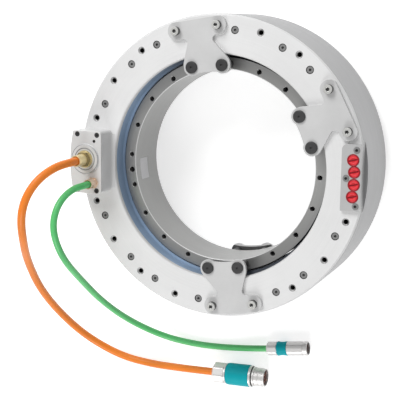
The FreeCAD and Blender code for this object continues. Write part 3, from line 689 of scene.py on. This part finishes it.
bm = bmesh.new()
loop_lathe(bm, [
    (170.0, FLANGE_LOW_Z), (STATOR_R, FLANGE_LOW_Z), (STATOR_R, 122.3), (219.8, 122.8),
    (217.8, 124.8), (217.3, FACE_Z), (166.2, FACE_Z), (165.0, 124.7), (164.0, 123.8),
    (163.5, 122.6), (FLANGE_IN_R, 121.0), (FLANGE_IN_R, 118.3), (163.6, 118.0),
    (170.0, 118.0)], 256)
flange = link("flange_fine", bm, FACE)
cutters = bmesh.new()
for k in range(HOLE_COUNT):
    threaded_hole(cutters, HOLE_STEP * k, FACE_Z, chamfer=2.1)
flange_screw_angles = [HOLE_STEP * k + side for k in range(1, HOLE_COUNT, 2)
                       for side in (-FLANGE_SCREW_SIDE, FLANGE_SCREW_SIDE)]
for angle in flange_screw_angles:
    stack(cutters, [(-FLANGE_SCREW_DEPTH, 5.5), (-0.3, 5.5), (0.0, 5.8), (0.5, 5.8)], 48,
          at(*polar(FLANGE_SCREW_CIRCLE, angle), FACE_Z))
# The holes' walls take painted shade, their countersinks a lighter painted shade.
carve(flange, cutters, HOLE_SHADE, SINK_SHADE)
block = bmesh.new()
bmesh.ops.create_cube(block, size=1.0, matrix=Matrix.Translation(
    (FLAT_X + 20, 0, FLAT_LEDGE_Z + 20)) @ Matrix.Diagonal((40, 400, 40, 1)))
carve(flange, block)
# The outer cylinder and the ledge take the wall's painted shade.
paint(flange, WALL_SHADED, lambda middle, normal: middle.xy.length > STATOR_R - 0.4
      or (abs(middle.z - FLAT_LEDGE_Z) < 0.3 and normal.z > 0.99
          and middle.xy.length > FLAT_X - 0.5))
# The flat's side takes painted shade.
paint(flange, SINK_SHADE, lambda middle, normal: abs(middle.x - FLAT_X) < 0.3 and normal.x > 0.99)
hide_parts("front_flange")


def socket_head(bm, place, radius, height, flats, depth, teeth=0, shank=None, painted_shade_side=False):
    """Cap screw with a hexagon socket; shank is its (radius, length) below the head."""
    rim = knurl(radius, 0.22, teeth) if teeth else radius
    count = teeth * 4 if teeth else 48
    sections = []
    if shank:
        thin, long = shank
        sections += [(-long, thin - 0.5), (-long + 0.5, thin), (0.0, thin)]
    sections += [(0.0, radius - 0.3), (0.3, rim), (height - radius * 0.13, rim),
                 (height - radius * 0.06, radius * 0.965), (height, radius * 0.90),
                 (height, flats / 2 * 1.2), (height - flats * 0.06, hexagon(flats)),
                 (height - depth, hexagon(flats)), (height - depth - flats * 0.2, 0.2)]
    before = len(bm.faces)
    stack(bm, sections, count, place, inside=len(sections) - 3)
    # The knurled side of the head takes the socket's painted shade.
    if painted_shade_side:
        band = before + sections.index((0.3, rim)) * count
        bm.faces.ensure_lookup_table()
        for face in bm.faces[band:band + count]:
            face.material_index = 1


# The flange screws' sockets take painted shade.
bm = bmesh.new()
for angle in flange_screw_angles:
    place = at(*polar(FLANGE_SCREW_CIRCLE, angle), FACE_Z - FLANGE_SCREW_DEPTH,
               random.uniform(0, 1))
    socket_head(bm, place, radius=5.0, height=6.0, flats=3.6, depth=2.4)
link("flange_screws", bm, DULL, inner=SOCKET_SHADE)

# Bracket screws, front and rear

def bracket_places(circle, lead, seat, down):
    """Places of a face's bracket screws, two to a bracket, each turned at random."""
    for angle in BRACKETS:
        first = math.floor(angle / HOLE_STEP) * HOLE_STEP
        for hole in (first, first + HOLE_STEP):
            yield at(*polar(circle, hole + lead), seat, random.uniform(0, 1), down)


def bracket_screws(name, node, seat, down):
    bm = bmesh.new()
    for place in bracket_places(STATOR_CIRCLE, 0.0, seat, down):
        socket_head(bm, place, radius=6.5, height=8.0, flats=5.0, depth=3.0, teeth=36,
                    shank=(3.3, 19.0), painted_shade_side=True)
    obj = link(name, bm, ZINC, inner=SOCKET_SHADE)
    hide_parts(node)


def lock_screws(name, node, seat, down, rotor_z):
    bm = bmesh.new()
    stem = abs(seat - rotor_z) - RUNNING_GAP
    rim = knurl(8.9, 0.3, 30)
    socket = hexagon(3.5)
    for place in bracket_places(ROTOR_CIRCLE, ROTOR_LEAD, seat, down):
        stack(bm, [(-stem, 5.9), (-stem + 0.5, 6.4), (0.0, 6.4), (0.0, 8.4), (0.25, rim),
                   (2.2, rim), (2.7, 8.3), (3.0, 7.6), (2.9, 5.8), (2.85, 3.6), (2.85, 2.4),
                   (2.7, socket), (1.2, socket), (0.8, 0.2)], 120, place)
    obj = link(name, bm, BLACK)
    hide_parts(node)


FRONT_SEAT = FACE_Z + BRACKET_T
REAR_SEAT = -BRACKET_T
bracket_screws("bracket_screws_front_fine", "bracket_screws_front", FRONT_SEAT, False)
bracket_screws("bracket_screws_rear_fine", "bracket_screws_rear", REAR_SEAT, True)
lock_screws("lock_screws_front_fine", "lock_screws_front", FRONT_SEAT, False, ROTOR_HIGH_Z)
lock_screws("lock_screws_rear_fine", "lock_screws_rear", REAR_SEAT, True, ROTOR_LOW_Z)

# Brackets; the rear ones carry painted light, and a shallow dark ring of painted shade where the
# bore shows them
for k in (1, 2, 3):
    dressed("bracket_front_%d" % k, PLATE, 0.35)
for k in (1, 2, 3):
    plate = dressed("bracket_rear_%d" % k, PLATE_REAR_LIT, 0.35)
    shade_ring = bmesh.new()
    loop_lathe(shade_ring, [(139.9, 0.5), (139.9, -SHADE_RING_DEPTH), (162.0, -SHADE_RING_DEPTH),
                        (162.0, 0.5)], 128)
    carve(plate, shade_ring, GROOVE_SHADE)

# Rear flange and outer wall, in the darker copy of the aluminium that carries painted shade
bm = bmesh.new()
loop_lathe(bm, [
    (FLANGE_IN_R, 0.5), (163.8, 0.0), (217.3, 0.0), (217.8, 0.2), (219.8, 2.2),
    (STATOR_R, 2.7), (STATOR_R, REAR_FLANGE_Z), (FLANGE_IN_R, REAR_FLANGE_Z)], 256)
rear_flange = link("rear_flange_fine", bm, WALL_SHADED)
cutters = bmesh.new()
for k in range(HOLE_COUNT):
    threaded_hole(cutters, HOLE_STEP * k, 0.0, chamfer=0.7, down=True)
# The holes' walls take painted shade.
carve(rear_flange, cutters, HOLE_SHADE)
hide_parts("rear_flange")
bm = bmesh.new()
loop_lathe(bm, [
    (WALL_IN_R, REAR_FLANGE_Z), (STATOR_R, REAR_FLANGE_Z), (STATOR_R, 104.7),
    (219.8, FLANGE_LOW_Z), (WALL_IN_R, FLANGE_LOW_Z)], 256)
housing = link("housing_fine", bm, WALL_SHADED)
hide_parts("stator_housing")

# Potting that shows inside the front edge
bm = bmesh.new()
loop_lathe(bm, [
    (160.4, 95.1), (183.9, 95.1), (183.9, FLANGE_LOW_Z), (169.9, FLANGE_LOW_Z),
    (169.9, 117.9), (FLANGE_IN_R, 117.9), (FLANGE_IN_R, 100.0), (162.9, 98.4), (161.6, 96.7),
    (160.4, 95.9)], 256)
potting = link("potting_fine", bm, RESIN)
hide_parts("potting_front")

# Rotor

def rotor_hole(bm, angle, radius, chamfer):
    """Cutter for a through hole with a chamfer at both mouths."""
    mouth = radius + chamfer
    stack(bm, [(ROTOR_LOW_Z - 0.5, mouth), (ROTOR_LOW_Z, mouth), (ROTOR_LOW_Z + chamfer, radius),
               (ROTOR_HIGH_Z - chamfer, radius), (ROTOR_HIGH_Z, mouth),
               (ROTOR_HIGH_Z + 0.5, mouth)], 32, at(*polar(ROTOR_CIRCLE, angle), 0))


bm = bmesh.new()
loop_lathe(bm, [
    (BORE_R, 24.1), (142.1, ROTOR_LOW_Z), (157.7, ROTOR_LOW_Z), (158.2, 23.3), (158.2, 23.9),
    (154.0, 23.9), (154.0, 98.1), (158.2, 98.1), (158.2, 98.6), (157.7, ROTOR_HIGH_Z),
    (142.1, ROTOR_HIGH_Z), (BORE_R, 97.9)], 256)
rotor = link("rotor_fine", bm, ROTOR, "rotor")
cutters = bmesh.new()
for k in range(HOLE_COUNT):
    rotor_hole(cutters, ROTOR_LEAD + HOLE_STEP * k, radius=3.5, chamfer=0.6)
rotor_hole(cutters, INDEX_ANGLE, radius=4.2, chamfer=0.5)
# The rotor's holes take the flange screws' darker grey as painted shade.
carve(rotor, cutters, DULL)

# Pocket behind the rating plate, with 0.1 mm round it: four curved rows of points
pocket = bmesh.new()
steps = 12
turn = Matrix.Rotation(math.radians(RATING_ANGLE), 4, "Z")
half_width = RATING_WIDTH / 2 + 0.1
half_height = RATING_HEIGHT / 2 + 0.1
rows = []
for r in (BORE_R - 2.0, BORE_R + 1.3):
    for z in (RATING_Z - half_height, RATING_Z + half_height):
        row = []
        for i in range(steps + 1):
            across = -half_width + 2 * half_width * i / steps
            row.append(pocket.verts.new(turn @ Vector((math.sqrt(r * r - across * across),
                                                       across, z))))
        rows.append(row)
for i in range(steps):
    j = i + 1
    for first, second in ((0, 1), (3, 2), (2, 0), (1, 3)):
        pocket.faces.new((rows[first][i], rows[first][j], rows[second][j], rows[second][i]))
for i in (0, steps):
    pocket.faces.new((rows[0][i], rows[1][i], rows[3][i], rows[2][i]))
carve(rotor, pocket)
rotor_middle = (ROTOR_LOW_Z + ROTOR_HIGH_Z) / 2
# The chamfers at the bore's mouths take a painted highlight.
paint(rotor, EDGE_HIGHLIGHT, lambda middle, normal: middle.xy.length < BORE_R + 1.1
      and 0.3 < abs(normal.z) < 0.95 and abs(middle.z - rotor_middle) > 36.0)
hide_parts("rotor_ring")
dressed("rating_plate", FOIL, 0.2, "rotor")

# Connection box and its cover, with seats for four screws and one bare hole
dressed("connection_box", BOX, 0.8)
cover = dressed("box_cover", BOX, 0.7, segments=3)
cover_screws = ((-207.7, 41.4), (-175.4, 41.0), (-176.0, -41.8), (-207.0, -41.0))
cutters = bmesh.new()
for x, y in cover_screws:
    stack(cutters, [(-COVER_SCREW_DEPTH, 3.8), (-0.25, 3.8), (0.0, 4.05), (0.5, 4.05)], 36,
          at(x, y, COVER_Z))
stack(cutters, [(-COVER_SCREW_DEPTH, 2.2), (-0.3, 2.2), (0.0, 2.5), (0.5, 2.5)], 24,
      at(-180.0, 31.7, COVER_Z))
# The holes' walls take painted shade.
carve(cover, cutters, HOLE_SHADE)
# Grooves round the gland, whose walls take painted shade.
grooves = bmesh.new()
gland = at(*GLAND_AT, 0)
over = COLLAR_Z + 1.0
loop_lathe(grooves, [(15.3, over), (15.3, 162.2), (15.6, 161.9), (16.5, 161.9), (16.8, 162.2),
                     (16.8, over)], 96, gland)
loop_lathe(grooves, [(20.7, over), (20.7, 162.4), (21.0, 162.1), (22.6, 162.1), (22.6, over)],
           96, gland)
carve(cover, grooves, SINK_SHADE)
# The cover screws' sockets take painted shade.
bm = bmesh.new()
for x, y in cover_screws:
    place = at(x, y, COVER_Z - COVER_SCREW_DEPTH, random.uniform(0, 1))
    socket_head(bm, place, radius=3.5, height=4.0, flats=3.0, depth=2.0)
link("cover_screws", bm, BLACK, inner=HOLE_SHADE)

# Glands; the power gland's flats carry painted shade, darker than the rest of it
power_gland = dressed("power_gland", BRASS, 0.5)
flats_low, flats_high = GLAND_FLATS_Z
paint(power_gland, BRASS_SHADE, lambda middle, normal: flats_low < middle.z < flats_high
      and (abs(normal.z) < 0.3 or middle.z > flats_high - 0.9))
dressed("signal_gland", COPPERY, 0.3)

# Coolant manifold, its plugs and screws
dressed("coolant_manifold", MANIFOLD, 0.5)
# The plugs' outer rims take a darker red of painted shade; their dished middles the plain red.
bm = bmesh.new()
slots = bmesh.new()
for x, y in ((202.8, 24.4), (204.8, 8.0), (204.8, -9.7), (203.1, -26.4)):
    stack(bm, [(FACE_Z, 8.6), (131.3, 8.6), (131.8, 8.0), (131.8, 7.3), (131.1, 6.5),
               (130.9, 5.8), (131.0, 0.3)], 64, at(x, y, 0), inside=4)
    slot = at(x, y, 131.0, math.radians(PLUG_SLOT_TURN))
    bmesh.ops.create_cube(slots, size=1.0, matrix=slot @ Matrix.Diagonal((12.4, 2.0, 1.6, 1)))
plugs = link("port_plugs_fine", bm, RED_RIM_SHADE, inner=RED)
carve(plugs, slots)
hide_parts("port_plugs")
# The manifold screws' sockets take painted shade.
bm = bmesh.new()
for x, y in ((207.3, 38.3), (193.6, -1.1), (208.0, -39.4)):
    place = at(x, y, MANIFOLD_SEAT_Z, random.uniform(0, 1))
    socket_head(bm, place, radius=4.6, height=4.0, flats=4.0, depth=2.4)
manifold_screws = link("manifold_screws_fine", bm, DULL, inner=HOLE_SHADE)
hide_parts("manifold_screws")

# Inner pieces keep their solids
for node, look in (("cooling_jacket", WALL_SHADED), ("stator_core", CORE), ("coil_windings", COPPER),
                   ("potting_rear", RESIN), ("rotor_magnets", MAGNET)):
    mesh = NODES[node].data
    mesh.materials.clear()
    mesh.materials.append(look)


# Floor, light and background

FLOOR_GREY = 0.80
FLOOR_GLOW = 0.62
WORLD_LIGHT = 0.40
WORLD_GLOSS = 0.72
WHITE = (1, 1, 1, 1)
LAMP_AIM = Vector((0.0, 0.0, 0.06))
LAMP_SIZE = 1.3


def seen_by(nodes, links, *rays):
    """One for the named kinds of ray, zero for all others."""
    path = nodes.new("ShaderNodeLightPath")
    seen = path.outputs[rays[0]]
    for ray in rays[1:]:
        seen = number(nodes, links, "MAXIMUM", seen, path.outputs[ray])
    return seen


floor_mesh = bpy.data.meshes.new("floor")
bm = bmesh.new()
bmesh.ops.create_circle(bm, cap_ends=True, radius=12.0, segments=96)
bm.to_mesh(floor_mesh)
bm.free()
floor = bpy.data.objects.new("floor", floor_mesh)
bpy.context.scene.collection.objects.link(floor)
floor.location.z = GROUND * MM
floor_look = bpy.data.materials.new("floor_paint")
floor_look.use_nodes = True
nodes, links = floor_look.node_tree.nodes, floor_look.node_tree.links
nodes.clear()
out = nodes.new("ShaderNodeOutputMaterial")
matte = nodes.new("ShaderNodeBsdfDiffuse")
matte.inputs["Color"].default_value = (FLOOR_GREY, FLOOR_GREY, FLOOR_GREY, 1)
glow = nodes.new("ShaderNodeEmission")
glow.inputs["Color"].default_value = WHITE
seen = seen_by(nodes, links, "Is Camera Ray", "Is Glossy Ray", "Is Transmission Ray")
links.new(number(nodes, links, "MULTIPLY", seen, FLOOR_GLOW), glow.inputs["Strength"])
total = nodes.new("ShaderNodeAddShader")
links.new(matte.outputs[0], total.inputs[0])
links.new(glow.outputs[0], total.inputs[1])
links.new(total.outputs[0], out.inputs["Surface"])
floor_mesh.materials.append(floor_look)

world = bpy.data.worlds.new("world")
bpy.context.scene.world = world
world.use_nodes = True
nodes, links = world.node_tree.nodes, world.node_tree.links
nodes.clear()
out = nodes.new("ShaderNodeOutputWorld")
sky = nodes.new("ShaderNodeBackground")
sky.inputs["Color"].default_value = WHITE
seen = seen_by(nodes, links, "Is Camera Ray", "Is Transmission Ray")
level = spread(nodes, links, seen, WORLD_LIGHT, 1.0, 0.0, 1.0)
mirrored = seen_by(nodes, links, "Is Glossy Ray")
gloss = number(nodes, links, "MULTIPLY", mirrored, WORLD_GLOSS)
links.new(number(nodes, links, "MAXIMUM", level, gloss), sky.inputs["Strength"])
links.new(sky.outputs[0], out.inputs["Surface"])


def softbox(name, place, power):
    """Square lamp that looks at the middle of the motor, in metres and watts."""
    data = bpy.data.lights.new(name, "AREA")
    data.shape = "SQUARE"
    data.size = LAMP_SIZE
    data.energy = power
    lamp = bpy.data.objects.new(name, data)
    bpy.context.scene.collection.objects.link(lamp)
    lamp.location = place
    lamp.rotation_mode = "QUATERNION"
    lamp.rotation_quaternion = (Vector(place) - LAMP_AIM).to_track_quat("Z", "Y")


softbox("upper", (-0.8, 2.0, 1.9), 46.0)
softbox("lower", (-0.1, -2.1, 1.5), 28.0)

bpy.context.scene.view_settings.view_transform = "Standard"
